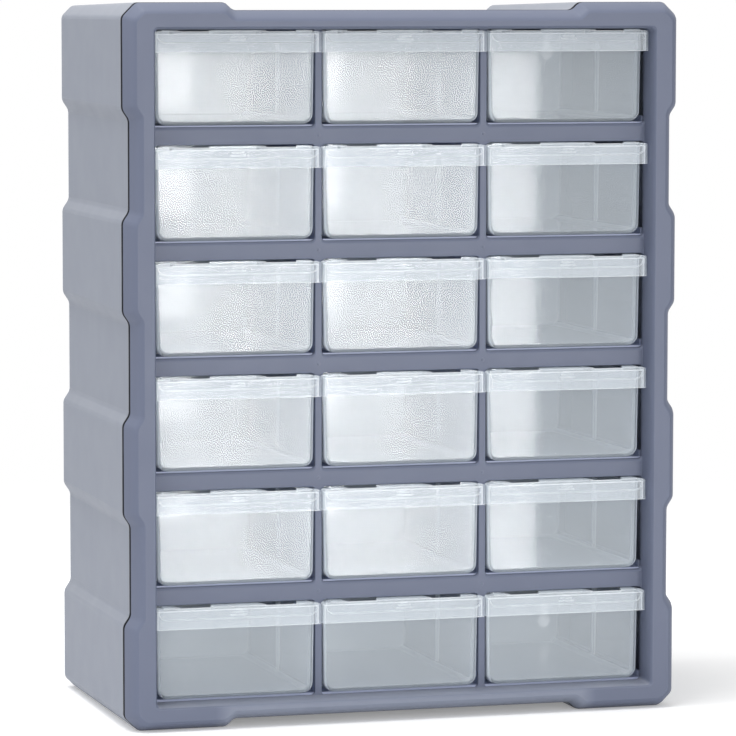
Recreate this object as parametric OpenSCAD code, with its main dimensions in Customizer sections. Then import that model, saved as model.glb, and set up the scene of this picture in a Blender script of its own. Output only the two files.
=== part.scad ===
// Parts bin cabinet: a moulded case with three columns and six rows of clear drawers.
// Millimetres. +Z up, the drawers face -Y, origin in the middle of the footprint on the ground.

/* [Case] */
// Width over the side steps
case_w = 300; // [290:1:320]
// Depth from the front face to the back face
case_d = 160; // [150:1:180]
// Height over the feet and the top steps
case_h = 374; // [370:1:390]
// Wall thickness of the rear shell
shell_wall = 2.4; // [2:0.2:3]
// How far each side wall leans in towards the back
draft = 2.6; // [1:0.2:3.2]

/* [Stepped outline] */
// Depth of the recesses in the two sides
side_step = 3.5; // [2:0.5:4]
// Height of the sloped face between a side step and its recess
side_slope = 5.2; // [4:0.2:7]
// Distance between neighbouring side slopes
side_pitch = 52; // [48:1:54]
// Depth of the long recess along the top and the bottom
top_step = 4; // [2:0.5:4]
// Length of the sloped face at the end of that recess
top_slope = 4.4; // [3:0.2:6]
// Length of each corner step along the top and the bottom
corner_step = 54; // [40:1:70]
// Chamfer on the four corners
corner_cut = 7.2; // [5:0.2:9]
// Length that the edges of the outline are blended over
edge_blend = 1.5; // [0.8:0.1:1.8]

/* [Front frame] */
// Depth of the front frame, from the seam to the front face
frame_d = 10; // [8:0.5:12]
// How far the front face is set in from the outline at the seam
frame_slope = 5.6; // [4:0.2:6]
// Depth from the front face back to the rails
rail_set_back = 14; // [12:0.5:15]
// Height of a rail between two rows
rail_h = 9.3; // [8:0.1:10]
// Width of the upright between two columns
upright_w = 3.6; // [2.8:0.2:3.8]
// Height of the top of the first row's drawers above the ground
first_row_top = 359.2; // [358:0.1:359.6]

/* [Drawers] */
// Distance from one row to the next
row_pitch = 59.3; // [59:0.1:59.4]
// Distance from one column to the next
col_pitch = 89.6; // [89:0.1:89.8]
// Width of the pull along the top of a drawer
pull_w = 88.6; // [84:0.2:88.6]
// Height of the pull's front skirt
pull_h = 10.8; // [8:0.2:12]
// Width of the bin behind the pull
bin_w = 85; // [80:0.2:85.2]
// Height of a drawer from its floor to the top of its pull
bin_h = 47.9; // [44:0.1:47.9]
// Length of the bin from its front wall to its back wall
bin_l = 126; // [100:1:130]
// Wall thickness of a drawer
bin_wall = 1.5; // [1.2:0.1:1.8]
// How much narrower each side of the bin is at its floor
bin_taper = 0.8; // [0.4:0.1:1.2]
// Radius of the bin's lower edges
bin_round = 5.5; // [3:0.5:6]

/* [Wall fixing] */
// Radius of a keyhole's round opening
keyhole_r = 4; // [3.5:0.1:4.5]
// Width of a keyhole's slot
keyhole_slot = 4.2; // [3.5:0.1:4.4]
// Distance of the keyholes from the middle of the back
keyhole_x = 129.8; // [110:0.2:130]
// Height of the lower keyholes
keyhole_low = 25; // [24:1:60]
// Height of the upper keyholes
keyhole_high = 345; // [320:1:347]

/* [Hidden] */
$fn = 32;
ROWS = 6;
COLS = 3;

case_color = [0.48, 0.51, 0.58];
shell_color = [0.58, 0.6, 0.66];
inner_color = [0.45, 0.48, 0.56];
drawer_color = [0.85, 0.88, 0.91, 0.6];

// Depths along Y
front_y = -case_d / 2;
back_y = case_d / 2;
seam_y = front_y + frame_d;
rail_y = front_y + rail_set_back;
grid_t = 2.2;
grid_back_y = rail_y + grid_t;
seam_gap = 1.6;
shell_front_y = seam_y + seam_gap;
back_wall_y = back_y - shell_wall;
back_edge = 1.6;

// Front frame: each profile holds how deep behind the front face, and how far set in or out
bezel_profile = [[0, frame_slope], [0.5, frame_slope - 1], [1.8, frame_slope - 2.2], [5, frame_slope - 4]];
lip_profile = [[-0.6, 2.1], [0.9, 0.75], [3, 0.2], [6, 0]];
face_t = 2.6;
rim_seat = 1.4;
skirt_t = 1.8;
skirt_gap = 0.2;
skirt_back_y = seam_y + 10;

// Pocket of the front frame, and the rails and uprights in it
pocket_x = 134.3;
pocket_gap = 1;
pocket_top = first_row_top + pocket_gap;
pocket_round = 2.4;
pocket_wall = 2;
rail_drop = 1.1;
shelf_drop = 0.3;
pocket_low = first_row_top - (ROWS - 1) * row_pitch - bin_h - rail_drop - shelf_drop;
rail_chamfer = 1.3;
cell_round = 2.4;
pip_d = 2;
pip_top = 1.2;
pip_h = 0.9;

// Shelves, partitions and the gaps around them
shelf_t = 2;
partition_t = 2;
shelf_x = case_w / 2 - side_step - shell_wall - draft - 0.6;
ledge_t = 2;
ledge_x = 138;
ledge_y = skirt_back_y + 2;
flange_l = 8;
fit_gap = 0.1;
slot_gap = 0.3;
cross_y = 6;
guide_h = 3;
guide_t = 1.6;
guide_start = 3;
partition_top = case_h - top_step - shell_wall - draft - 1.2;

// Drawer: the pull stands in front of the rails, and the bin hangs behind its skirt
pull_front_y = rail_y - 7;
pull_l = 10.4;
pull_t = 1.5;
pull_round = 1.6;
pull_end_y = rail_y - 2.4;
neck_y = rail_y - 0.5;
neck_x = bin_w / 2 - 0.2;
side_drop = 3;
bin_front_y = rail_y - 1;
bin_corner = 2;
inner_corner = 1.2;
recess_d = 0.9;
recess_end = 2;
recess_round = 4;
ridge_drop = 5.6;
notch_x = 0.261 * pull_w;
notch_w = 17;
notch_flare = 2.4;
notch_bar = 2.6;
tongue_h = 0.6;
tongue_set = 1.2;
tongue_end = 2.6;
grip_w = 4.6;
grip_grow = 1.8;
grip_pitch = 1.5;
grip_t = 0.6;
slot_rib = 1.2;
slot_rib_out = 0.8;
slot_w = 2;
slot_drop = 8;

function row_floor(r) = first_row_top - bin_h - (r - 1) * row_pitch;
function col_x(c) = (c - (COLS + 1) / 2) * col_pitch;
function shelf_z(r) = row_floor(r) - shelf_drop;

// Right half of the stepped outline, from the bottom to the top, set in by d at the side and the
// top and by low at the bottom. Sloped faces keep their direction, so a loft between two is flat.
function step_shift(d, slope, step) = d * (norm([slope, step]) - slope) / step;
function half_outline(d, low) =
    let (
        x = case_w / 2 - d,
        top = case_h - d,
        mid = case_h / 2,
        shift = step_shift(d, side_slope, side_step),
        end = step_shift(d, top_slope, top_step),
        cut = corner_cut - (2 - sqrt(2)) * d,
        low_cut = corner_cut - (2 - sqrt(2)) * low,
        inner = case_w / 2 - corner_step
    )
    concat(
        [[inner - top_slope + end, low + top_step], [inner + end, low]],
        [[x - low_cut, low], [x, low + low_cut]],
        [for (i = [0:5]) let (
            z = mid + (i - 2.5) * side_pitch,
            out = i % 2 == 0 ? -1 : 1,
            move = out * shift)
            each out < 0
                ? [[x, z - side_slope / 2 + move], [x - side_step, z + side_slope / 2 + move]]
                : [[x - side_step, z - side_slope / 2 + move], [x, z + side_slope / 2 + move]]],
        [[x, top - cut], [x - cut, top], [inner + end, top], [inner - top_slope + end, top - top_step]]
    );
function mirrored(half) = [for (i = [len(half) - 1:-1:0]) [-half[i].x, half[i].y]];

// Each corner of a closed path becomes three points on a short curve
function toward(a, b, l) = a + (b - a) * l / norm(b - a);
function blended(path, l) = [for (i = [0:len(path) - 1]) let (
    n = len(path),
    p = path[i],
    a = toward(p, path[(i + n - 1) % n], l),
    b = toward(p, path[(i + 1) % n], l))
    each [a, (a + 2 * p + b) / 4, b]];
function outline(d, low) =
    let (half = half_outline(d, low)) blended(concat(half, mirrored(half)), edge_blend);

// Rectangle with round corners, each of n points
function round_rect(x0, z0, x1, z1, r, n = 5) = [for (k = [0:3]) let (
    cx = (k == 0 || k == 3) ? x1 - r : x0 + r,
    cz = k < 2 ? z1 - r : z0 + r)
    each [for (i = [0:n - 1]) let (a = 90 * (k + i / (n - 1))) [cx + r * cos(a), cz + r * sin(a)]]];

// Skin through closed outlines of equal point count; stations holds [y, outline]. Each end is a
// fan around the middle of its outline, which every point of these outlines can be seen from.
function middle(path) = let (
    xs = [for (p = path) p.x],
    zs = [for (p = path) p.y])
    [(min(xs) + max(xs)) / 2, (min(zs) + max(zs)) / 2];
module loft(stations) {
    n = len(stations[0][1]);
    last = len(stations) - 1;
    ends = [for (k = [0, last]) let (m = middle(stations[k][1])) [m.x, stations[k][0], m.y]];
    points = concat([for (s = stations) each [for (p = s[1]) [p.x, s[0], p.y]]], ends);
    hub = (last + 1) * n;
    sides = [for (k = [0:last - 1]) each [for (i = [0:n - 1]) let (j = (i + 1) % n)
        each [[k * n + i, k * n + j, (k + 1) * n + j], [k * n + i, (k + 1) * n + j, (k + 1) * n + i]]]];
    front = [for (i = [0:n - 1]) [hub, (i + 1) % n, i]];
    back = [for (i = [0:n - 1]) [hub + 1, last * n + i, last * n + (i + 1) % n]];
    polyhedron(points, concat(sides, front, back), convexity = 8);
}

// A flat shape in X and Z, pushed through from y0 to y1
module through(y0, y1) {
    translate([0, y1, 0]) rotate([90, 0, 0]) linear_extrude(y1 - y0) children();
}

// Case: rear shell

function lean(y) = draft * (y - seam_y) / (back_y - seam_y);

module shell_outside() {
    loft([
        [shell_front_y, outline(lean(shell_front_y), 0)],
        [back_y - back_edge, outline(lean(back_y - back_edge), 0)],
        [back_y - back_edge / 3, outline(draft + back_edge / 3, back_edge / 3)],
        [back_y, outline(draft + back_edge, back_edge)]
    ]);
}

module shell_cavity() {
    mouth = 20;
    difference() {
        loft([
            [shell_front_y - mouth, outline(shell_wall + lean(shell_front_y - mouth), shell_wall)],
            [back_wall_y, outline(shell_wall + lean(back_wall_y), shell_wall)]
        ]);
        for (r = [1:ROWS]) for (s = [-1, 1])
            translate([s > 0 ? ledge_x : -case_w / 2, ledge_y, shelf_z(r) - shelf_t - ledge_t])
                cube([case_w / 2 - ledge_x, back_y - ledge_y, ledge_t]);
    }
}

module keyhole(x, z) {
    translate([x, back_y + 1, z]) rotate([90, 0, 0]) cylinder(r = keyhole_r, h = shell_wall + 2);
    translate([x, back_y + 1, z + 2 * keyhole_r]) rotate([90, 0, 0])
        cylinder(d = keyhole_slot, h = shell_wall + 2);
    translate([x - keyhole_slot / 2, back_wall_y - 1, z]) cube([keyhole_slot, shell_wall + 2, 2 * keyhole_r]);
}

module rear_shell() {
    color(shell_color) difference() {
        shell_outside();
        shell_cavity();
        for (x = [-keyhole_x, keyhole_x]) for (z = [keyhole_low, keyhole_high]) keyhole(x, z);
    }
}

// Case: front frame with its rails and uprights

module bezel_solid() {
    loft(concat(
        [for (s = bezel_profile) [front_y + s[0], outline(s[1], s[1])]],
        [[seam_y, outline(0, 0)]]
    ));
}

function pocket(grow, r) =
    round_rect(-pocket_x - grow, pocket_low - grow, pocket_x + grow, pocket_top + grow, r);

module pocket_cut() {
    loft(concat(
        [for (s = lip_profile) [front_y + s[0], pocket(s[1], pocket_round)]],
        [[grid_back_y + 1, pocket(0, pocket_round)]]
    ));
}

// Hollow behind the frame's face, between its outer wall and the wall of the pocket
module frame_hollow() {
    inset = shell_wall + skirt_gap + skirt_t;
    through(front_y + face_t, skirt_back_y + 1) difference() {
        polygon(outline(inset, inset));
        polygon(pocket(pocket_wall, pocket_round + pocket_wall));
    }
}

module outline_ring(y0, y1, outer, inner) {
    through(y0, y1) difference() {
        polygon(outline(outer, outer));
        polygon(outline(inner, inner));
    }
}

function cell(r, c) =
    let (
        x0 = c == 1 ? -pocket_x : col_x(c) - col_pitch / 2 + upright_w / 2,
        x1 = c == COLS ? pocket_x : col_x(c) + col_pitch / 2 - upright_w / 2,
        z0 = r == ROWS ? pocket_low : row_floor(r) - rail_drop,
        z1 = r == 1 ? pocket_top : row_floor(r - 1) - rail_drop - rail_h
    )
    round_rect(x0, z0, x1, z1, cell_round);

module rail_grid() {
    difference() {
        through(rail_y, grid_back_y) difference() {
            polygon(pocket(1, pocket_round + 1));
            for (r = [1:ROWS]) for (c = [1:COLS]) polygon(cell(r, c));
        }
        for (r = [1:ROWS - 1]) translate([-case_w / 2, rail_y, row_floor(r) - rail_drop - rail_chamfer])
            rotate([45, 0, 0]) cube([case_w, 3, 3]);
    }
    // Flanges that the shelves' front edges lie on
    for (r = [1:ROWS]) for (c = [1:COLS])
        translate([col_x(c) - bin_w / 2, grid_back_y - 0.5, shelf_z(r) - shelf_t - ledge_t])
            cube([bin_w, flange_l, ledge_t]);
    // Moulded pips where a rail crosses an upright
    for (r = [1:ROWS - 1]) for (s = [-1, 1])
        translate([s * col_pitch / 2, rail_y + 0.5, row_floor(r) - rail_drop - rail_h / 2]) rotate([90, 0, 0])
            cylinder(d1 = pip_d, d2 = pip_top, h = pip_h);
}

module front_frame() {
    seat = shell_wall + skirt_gap;
    color(case_color) {
        difference() {
            union() {
                bezel_solid();
                // Skirt inside the shell's wall, and the ring that rests on its rim
                outline_ring(seam_y - 1, skirt_back_y, seat, seat + skirt_t);
                outline_ring(seam_y - 1, shell_front_y, rim_seat, seat + 1);
                through(seam_y - 1, grid_back_y) polygon(pocket(pocket_wall, pocket_round + pocket_wall));
            }
            frame_hollow();
            pocket_cut();
        }
        rail_grid();
    }
}

// Case: shelves and partitions, lapped into each other from the front and the back

module shelf(r) {
    z = shelf_z(r) - shelf_t;
    y0 = grid_back_y + fit_gap;
    color(inner_color) {
        difference() {
            translate([-shelf_x, y0, z]) cube([2 * shelf_x, back_wall_y - fit_gap - y0, shelf_t]);
            if (r < ROWS) for (s = [-1, 1])
                translate([s * col_pitch / 2 - (partition_t + slot_gap) / 2, y0 - 1, z - 1])
                    cube([partition_t + slot_gap, cross_y - y0 + 1, shelf_t + 2]);
        }
        // Upright guides beside the outer drawers
        for (s = [-1, 1]) translate([s * (pocket_x + guide_t / 2) - guide_t / 2, y0 + guide_start, z])
            cube([guide_t, bin_l, shelf_t + guide_h]);
    }
}

module partition(x) {
    y0 = grid_back_y + fit_gap;
    z0 = shelf_z(ROWS);
    color(inner_color) difference() {
        translate([x - partition_t / 2, y0, z0])
            cube([partition_t, back_wall_y - fit_gap - y0, partition_top - z0]);
        for (r = [1:ROWS - 1]) translate([x - partition_t, cross_y, shelf_z(r) - shelf_t - slot_gap / 2])
            cube([2 * partition_t, case_d, shelf_t + slot_gap]);
    }
}

// Drawers

// Cross-section of the bin: sides that lean out and round lower edges, set in by d
function bin_section(d, top) =
    let (
        half = bin_w / 2 - d,
        low = half - bin_taper,
        r = bin_round - d,
        lean_x = bin_taper * r / (bin_h - d),
        n = 6,
        corner = [for (i = [0:n]) let (a = 90 * i / n)
            [low - r + r * sin(a) + lean_x * i / n, d + r - r * cos(a)]],
        right = concat(corner, [[half, top]])
    )
    concat(right, mirrored(right));

// Plan of the bin with its upright corners rounded
module bin_plan(d, y0, y1, r) {
    x = bin_w / 2 - d;
    for (s = [-1, 1]) for (y = [y0 + r, y1 - r]) translate([s * (x - r), y]) circle(r);
    translate([-x, y0 + r]) square([2 * x, y1 - y0 - 2 * r]);
    translate([-x + r, y0]) square([2 * (x - r), y1 - y0]);
}

module bin_shell() {
    y0 = bin_front_y;
    y1 = bin_front_y + bin_l;
    difference() {
        intersection() {
            through(y0, y1) polygon(bin_section(0, bin_h - pull_t / 2));
            translate([0, 0, -1]) linear_extrude(bin_h + 2) bin_plan(0, y0, y1, bin_corner);
        }
        intersection() {
            through(y0 + bin_wall, y1 - bin_wall) polygon(bin_section(bin_wall, bin_h + 5));
            translate([0, 0, -1]) linear_extrude(bin_h + 12)
                bin_plan(bin_wall, y0 + bin_wall, y1 - bin_wall, inner_corner);
        }
        // The sides and the back stand lower than the pull
        translate([-bin_w, pull_front_y + pull_l, bin_h - side_drop]) cube([2 * bin_w, 2 * bin_l, 10]);
    }
}

// Pairs of ribs half-way along the bin hold a divider
module divider_slots() {
    y = bin_front_y + bin_l / 2;
    x = bin_w / 2 - bin_taper - bin_wall - slot_rib_out;
    for (s = [-1, 1]) for (k = [-1, 1])
        translate([s > 0 ? x : -x - 2, y + k * (slot_w + slot_rib) / 2 - slot_rib / 2, bin_wall - 0.3])
            cube([2, slot_rib, bin_h - slot_drop]);
}

// Top plate of the pull, narrower where it passes between the uprights, with two notches
module notches(y0, y1) {
    n = notch_w / 2;
    for (s = [-1, 1]) translate([s * notch_x, 0])
        polygon([[-n, y0], [n, y0], [n + notch_flare, y1 + 1], [-n - notch_flare, y1 + 1]]);
}

module pull_plate() {
    w = pull_w / 2;
    y0 = pull_front_y;
    y1 = pull_front_y + pull_l;
    translate([0, 0, bin_h - pull_t]) linear_extrude(pull_t) difference() {
        polygon([
            [-w, y0], [w, y0], [w, pull_end_y], [neck_x, neck_y], [neck_x, y1],
            [-neck_x, y1], [-neck_x, neck_y], [-w, pull_end_y]
        ]);
        notches(y0 + notch_bar, y1);
    }
}

// Low tongues on the plate beside the notches
module tongues() {
    y0 = pull_front_y + tongue_set;
    y1 = pull_front_y + pull_l;
    translate([0, 0, bin_h - pull_t / 2]) linear_extrude(pull_t / 2 + tongue_h) difference() {
        translate([-neck_x + tongue_end, y0]) square([2 * (neck_x - tongue_end), y1 - y0]);
        notches(y0 - 1, y1);
    }
}

// Front skirt and its two end returns
module pull_skirt() {
    w = pull_w / 2;
    h = pull_h - pull_t / 2;
    translate([-w, pull_front_y, bin_h - pull_h]) cube([pull_w, pull_t, h]);
    for (s = [-1, 1]) translate([s > 0 ? w - pull_t : -w, pull_front_y + 0.5, bin_h - pull_h])
        cube([pull_t, pull_end_y - pull_front_y - 0.5, h]);
}

// The skirt's upper part is set back behind a ridge
module skirt_recess() {
    w = pull_w / 2 - recess_end;
    r = recess_round;
    through(pull_front_y - 1, pull_front_y + recess_d) {
        for (s = [-1, 1]) translate([s * (w - r), bin_h - ridge_drop + r]) circle(r);
        translate([-w + r, bin_h - ridge_drop]) square([2 * (w - r), ridge_drop + 1]);
        translate([-w, bin_h - ridge_drop + r]) square([2 * w, r]);
    }
}

// Three short grip ribs, each wider than the one above it
module grip_ribs() {
    for (i = [0:2]) let (w = grip_w + grip_grow * i)
        translate([-w / 2, pull_front_y + 0.2, bin_h - grip_pitch * (i + 1)]) cube([w, recess_d, grip_t]);
}

// The pull with its corners rounded as seen from the front
module pull() {
    w = pull_w / 2;
    intersection() {
        difference() {
            union() {
                pull_plate();
                pull_skirt();
            }
            skirt_recess();
        }
        through(pull_front_y - 1, pull_front_y + pull_l + 1)
            polygon(round_rect(-w, bin_h - pull_h, w, bin_h, pull_round));
    }
}

module drawer(r, c) {
    color(drawer_color) translate([col_x(c), 0, row_floor(r)]) {
        bin_shell();
        divider_slots();
        pull();
        tongues();
        grip_ribs();
    }
}

rear_shell();
front_frame();
partition(-col_pitch / 2);  // partition_left
partition(col_pitch / 2);  // partition_right
for (r = [1:ROWS]) shelf(r);
for (r = [1:ROWS]) for (c = [1:COLS]) drawer(r, c);
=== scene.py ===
import math
import bmesh
import bpy
from mathutils import Matrix, Vector


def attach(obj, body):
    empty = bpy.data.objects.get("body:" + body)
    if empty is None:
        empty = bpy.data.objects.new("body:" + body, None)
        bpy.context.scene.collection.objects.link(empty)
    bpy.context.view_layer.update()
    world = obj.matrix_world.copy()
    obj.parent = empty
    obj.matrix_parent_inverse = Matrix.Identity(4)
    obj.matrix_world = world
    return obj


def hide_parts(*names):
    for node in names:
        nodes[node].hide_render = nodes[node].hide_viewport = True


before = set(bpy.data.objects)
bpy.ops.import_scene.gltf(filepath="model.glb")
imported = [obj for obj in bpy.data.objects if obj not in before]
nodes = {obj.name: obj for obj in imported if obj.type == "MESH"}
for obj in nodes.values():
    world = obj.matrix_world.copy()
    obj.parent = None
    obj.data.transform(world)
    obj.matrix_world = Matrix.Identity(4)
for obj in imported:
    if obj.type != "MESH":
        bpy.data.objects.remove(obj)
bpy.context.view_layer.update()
scene = bpy.context.scene
mm = 0.001
sameSpot = 0.05      # mm, how close counts as the same place
leastInset = 0.01    # mm, keeps a straight step's faces from collapsing
weldGap = 0.002      # mm
squareOn = 0.9995    # a normal this much along one axis belongs to a flat face


def newEdgesAfter(bm, before):
    return [e for e in bm.edges if e not in before]


def newVertsOf(geometry):
    return [v for v in geometry if isinstance(v, bmesh.types.BMVert)]


def rounded(bm, geometry, offset, segments, affect="EDGES", clamp=False):
    bmesh.ops.bevel(bm, geom=list(geometry), offset=offset * mm, segments=segments, profile=0.5,
                    affect=affect, clamp_overlap=clamp, material=-1)


def insetStep(bm, face, inset, push):
    # draws the face in by inset, moves it along Y, and gives back its new edges
    face.normal_update()
    bmesh.ops.inset_region(bm, faces=[face], thickness=max(inset, leastInset) * mm,
                           use_even_offset=True, use_boundary=True)
    bmesh.ops.translate(bm, verts=list(face.verts), vec=(0, push * mm, 0))
    return list(face.edges)


def roundRectLoop(bm, x0, z0, x1, z1, radius, y, steps=5):
    before = set(bm.edges)
    corners = [bm.verts.new((x * mm, y * mm, z * mm))
               for x, z in ((x0, z0), (x1, z0), (x1, z1), (x0, z1))]
    bm.faces.new(corners)
    rounded(bm, corners, radius, steps, affect="VERTICES")
    edges = newEdgesAfter(bm, before)
    faces = {f for e in edges for f in e.link_faces}
    bmesh.ops.delete(bm, geom=list(faces), context="FACES_ONLY")
    return edges


def fillBetween(bm, edges):
    bmesh.ops.triangle_fill(bm, use_beauty=True, use_dissolve=False, edges=edges)


def bridge(bm, first, second):
    bmesh.ops.bridge_loops(bm, edges=first + second)


def openFaceAt(bm, y):
    # takes away the largest face that lies flat at y, and gives back its edges
    flat = [f for f in bm.faces if all(abs(v.co.y / mm - y) < sameSpot for v in f.verts)]
    largest = max(flat, key=lambda f: f.calc_area())
    edges = list(largest.edges)
    bmesh.ops.delete(bm, geom=[largest], context="FACES_ONLY")
    return edges


def addBox(bm, low, high, rounding):
    before = set(bm.verts)
    bmesh.ops.create_cube(bm, size=1)
    verts = [v for v in bm.verts if v not in before]
    bmesh.ops.scale(bm, verts=verts, vec=[(b - a) * mm for a, b in zip(low, high)])
    bmesh.ops.translate(bm, verts=verts, vec=[(a + b) / 2 * mm for a, b in zip(low, high)])
    rounded(bm, {e for v in verts for e in v.link_edges}, rounding, 2)


def mirrorHalf(bm):
    # mirrors a half outline in X and joins the two halves into one face
    bmesh.ops.mirror(bm, geom=bm.verts[:] + bm.edges[:] + bm.faces[:], axis="X", merge_dist=0.01 * mm)
    middle = [e for e in bm.edges if all(abs(v.co.x) < 0.01 * mm for v in e.verts)]
    bmesh.ops.dissolve_edges(bm, edges=middle, use_verts=True)


def closeNormals(bm):
    bmesh.ops.remove_doubles(bm, verts=bm.verts, dist=weldGap * mm)
    bmesh.ops.recalc_face_normals(bm, faces=bm.faces)


def report(name, bm):
    openEdges = sum(1 for e in bm.edges if len(e.link_faces) != 2)
    print(name + ":", len(bm.faces), "faces,", openEdges, "open edges")


def makeObject(name, bm):
    mesh = bpy.data.meshes.new(name)
    bm.to_mesh(mesh)
    bm.free()
    thing = bpy.data.objects.new(name, mesh)
    scene.collection.objects.link(thing)
    return thing


def finishPiece(thing, material, body, node, sharp):
    thing.data.shade_smooth()
    thing.data.set_sharp_from_angle(angle=math.radians(sharp))
    for face in thing.data.polygons:
        face.use_smooth = max(abs(part) for part in face.normal) < squareOn
    thing.data.materials.append(material)
    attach(thing, body)
    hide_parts(node)


def feed(tree, socket, value):
    # a fixed value is set on the socket, an output is linked to it
    if isinstance(value, (int, float, tuple)):
        socket.default_value = value
    elif value is not None:
        tree.links.new(value, socket)


def mathNode(tree, operation, a, b=None, c=None, clamp=False):
    node = tree.nodes.new("ShaderNodeMath")
    node.operation = operation
    node.use_clamp = clamp
    for socket, value in zip(node.inputs, (a, b, c)):
        feed(tree, socket, value)
    return node.outputs[0]


def scaled(tree, value, centre, gain, clamp=False):
    # how far the value is above the centre, times the gain
    return mathNode(tree, "MULTIPLY", mathNode(tree, "SUBTRACT", value, centre), gain, clamp=clamp)


def mixColour(tree, factor, a, b):
    node = tree.nodes.new("ShaderNodeMix")
    node.data_type = "RGBA"
    for label, value in (("Factor", factor), ("A", a), ("B", b)):
        feed(tree, node.inputs[label], value)
    return node.outputs["Result"]


def noiseNode(tree, coords, scale, detail):
    node = tree.nodes.new("ShaderNodeTexNoise")
    for label, value in (("Vector", coords), ("Scale", scale), ("Detail", detail)):
        feed(tree, node.inputs[label], value)
    return node.outputs["Fac"]


def patchNoise(tree, coords, scale, detail, least, gain):
    noise = mathNode(tree, "MULTIPLY", noiseNode(tree, coords, scale, detail), gain)
    return mathNode(tree, "ADD", least, noise)


def axisOf(tree, vector, axis):
    split = tree.nodes.new("ShaderNodeSeparateXYZ")
    tree.links.new(vector, split.inputs[0])
    return split.outputs[axis]


def faceNormal(tree):
    return tree.nodes.new("ShaderNodeNewGeometry").outputs["Normal"]


def newGroup(name, inputs, outputs):
    tree = bpy.data.node_groups.new(name, "ShaderNodeTree")
    for way, labels in (("INPUT", ("Vector",) + inputs), ("OUTPUT", outputs)):
        for label in labels:
            kind = "Vector" if label == "Vector" else "Color" if label.endswith("Colour") else "Float"
            tree.interface.new_socket(name=label, in_out=way, socket_type="NodeSocket" + kind)
    return tree, tree.nodes.new("NodeGroupInput").outputs, tree.nodes.new("NodeGroupOutput").inputs


moulding = dict(flowScale=9.0, cloudScale=60.0, cloudShare=0.35, cloudHeight=0.5,
                scratchTurn=(0.3, 0.5, 0.4), scratchStretch=(0.06, 1.0, 1.0), scratchScale=900.0,
                scratchFrom=0.735, scratchRough=0.03, scratchDepth=0.25)
# patches of the edge wear and painted highlight
edgeWearAndHighlight = dict(gain=5.0, patchScale=210.0, least=0.4)
# patches of the dust and painted light on faces that look up
dustAndSheen = dict(facingFrom=0.35, gain=2.0, patchScale=70.0, least=0.6, patchGain=0.8)
# patches of the painted shade in the seam
seamShading = dict(patchScale=40.0, least=0.7, patchGain=0.5)
# patches of the painted light on the low bar
lowBarLighting = dict(patchScale=55.0, least=0.75, patchGain=0.5)
milkiness = dict(sideFrom=0.8, cornerFrom=0.45, swirlScale=26.0, swirl=0.05)
# where the masks begin and end, in metres
places = dict(ledgeZ=0.0137, ledgeHalf=0.0012, cornerY=-0.0605, frontY=-0.0653, pullY=-0.0674,
              seamY=-0.0692, seamHalfX=0.140, middleZ=0.187, seamHalfZ=0.178,
              # where the painted light on the low bar lies
              lowBarTopZ=0.0150, lowBarFadeZ=250.0, lowBarHalfX=0.104, lowBarFadeX=120.0, lowBarFrontY=-0.0705)


def mouldedGroup():
    # fine spark-eroded grain, soft flow marks and a few faint scratches
    m = moulding
    tree, ins, outs = newGroup(
        "mouldedPlastic", ("Colour", "Flow Colour", "Flow", "Gloss", "Gloss Spread", "Grain Scale"),
        ("Colour", "Roughness", "Height"))
    flow = noiseNode(tree, ins["Vector"], m["flowScale"], 3.0)
    cloud = noiseNode(tree, ins["Vector"], m["cloudScale"], 4.0)
    grain = noiseNode(tree, ins["Vector"], ins["Grain Scale"], 2.0)
    stretch = tree.nodes.new("ShaderNodeMapping")
    for label, value in (("Vector", ins["Vector"]), ("Rotation", m["scratchTurn"]),
                         ("Scale", m["scratchStretch"])):
        feed(tree, stretch.inputs[label], value)
    scratch = noiseNode(tree, stretch.outputs["Vector"], m["scratchScale"], 1.0)
    scratch = mathNode(tree, "GREATER_THAN", scratch, m["scratchFrom"])
    blend = mathNode(tree, "ADD", flow, mathNode(tree, "MULTIPLY", cloud, m["cloudShare"]))
    blend = mathNode(tree, "MULTIPLY", blend, ins["Flow"], clamp=True)
    rough = mathNode(tree, "ADD", ins["Gloss"], scaled(tree, cloud, 0.5, ins["Gloss Spread"]))
    rough = mathNode(tree, "ADD", rough, mathNode(tree, "MULTIPLY", scratch, m["scratchRough"]), clamp=True)
    height = mathNode(tree, "ADD", grain, mathNode(tree, "MULTIPLY", cloud, m["cloudHeight"]))
    height = mathNode(tree, "SUBTRACT", height, mathNode(tree, "MULTIPLY", scratch, m["scratchDepth"]))
    feed(tree, outs["Colour"], mixColour(tree, blend, ins["Colour"], ins["Flow Colour"]))
    feed(tree, outs["Roughness"], rough)
    feed(tree, outs["Height"], height)
    return tree


def edgeWearAndHighlightGroup():
    # 1 on corners, 0 on flat faces: the mark is wear on the case's plastic, and a painted highlight on the
    #                                clear drawers
    tree, ins, outs = newGroup("wornAndHighlightedEdges", ("Radius", "Amount"), ("Mask",))
    soft = tree.nodes.new("ShaderNodeBevel")
    soft.samples = 4
    feed(tree, soft.inputs["Radius"], ins["Radius"])
    dot = tree.nodes.new("ShaderNodeVectorMath")
    dot.operation = "DOT_PRODUCT"
    feed(tree, dot.inputs[0], soft.outputs["Normal"])
    feed(tree, dot.inputs[1], faceNormal(tree))
    bend = scaled(tree, dot.outputs["Value"], 1.0, -edgeWearAndHighlight["gain"], clamp=True)
    patches = patchNoise(tree, ins["Vector"], edgeWearAndHighlight["patchScale"], 3.0, edgeWearAndHighlight["least"], 1.0)
    bend = mathNode(tree, "MULTIPLY", bend, patches)
    feed(tree, outs["Mask"], mathNode(tree, "MULTIPLY", bend, ins["Amount"], clamp=True))
    return tree


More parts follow.
